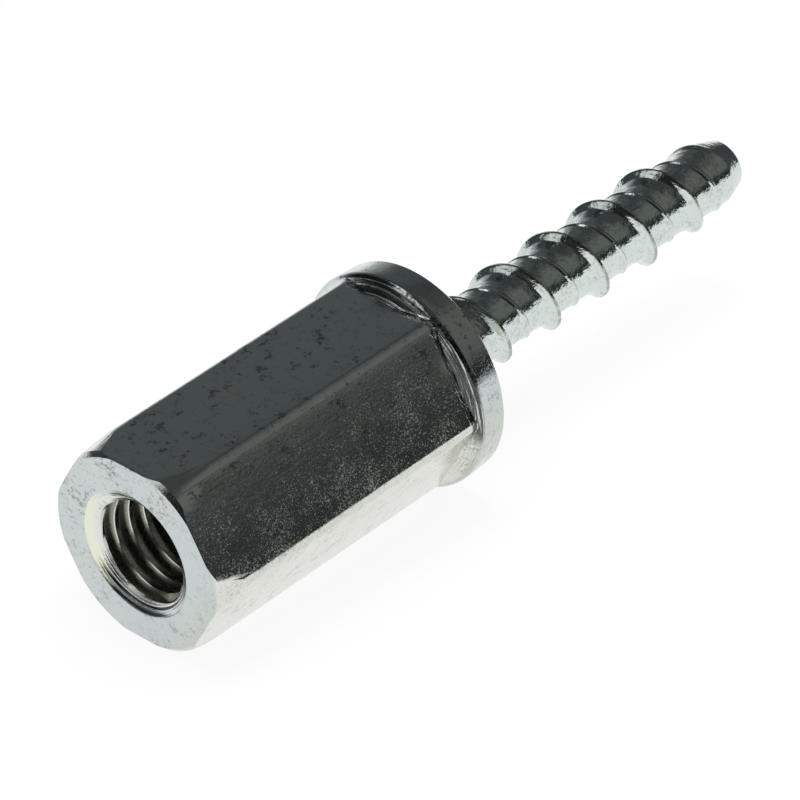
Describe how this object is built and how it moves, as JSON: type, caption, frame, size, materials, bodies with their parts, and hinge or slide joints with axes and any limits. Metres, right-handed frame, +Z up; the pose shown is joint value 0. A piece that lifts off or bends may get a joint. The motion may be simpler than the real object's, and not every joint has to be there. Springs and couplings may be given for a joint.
{
  "type": "anchor bolt",
  "caption": "Screw anchor for concrete with a high and a low thread, a round flange and a hexagonal sleeve tapped to hang a threaded rod.",
  "frame": {"origin": "on the surface that the anchor lies on, under the middle of its length and width", "axes": "+X along the length, from the sleeve's open end towards the screw's tip; +Y across, to the left of +X seen from above; +Z up. The anchor's own axis is in the XZ plane and rises 2.8 degrees towards the tip, because it lies on one flat of the sleeve and on the flange's rim"},
  "size_m": [0.0563, 0.0154, 0.0153],
  "materials": {
    "zinc_plated_steel": "bright zinc plating over cold-formed steel, satin, with faint drawing lines, small smudges and a slight rainbow tint"
  },
  "bodies": {
    "root": {"screw_anchor": "zinc_plated_steel"}
  },
  "joints": []
}
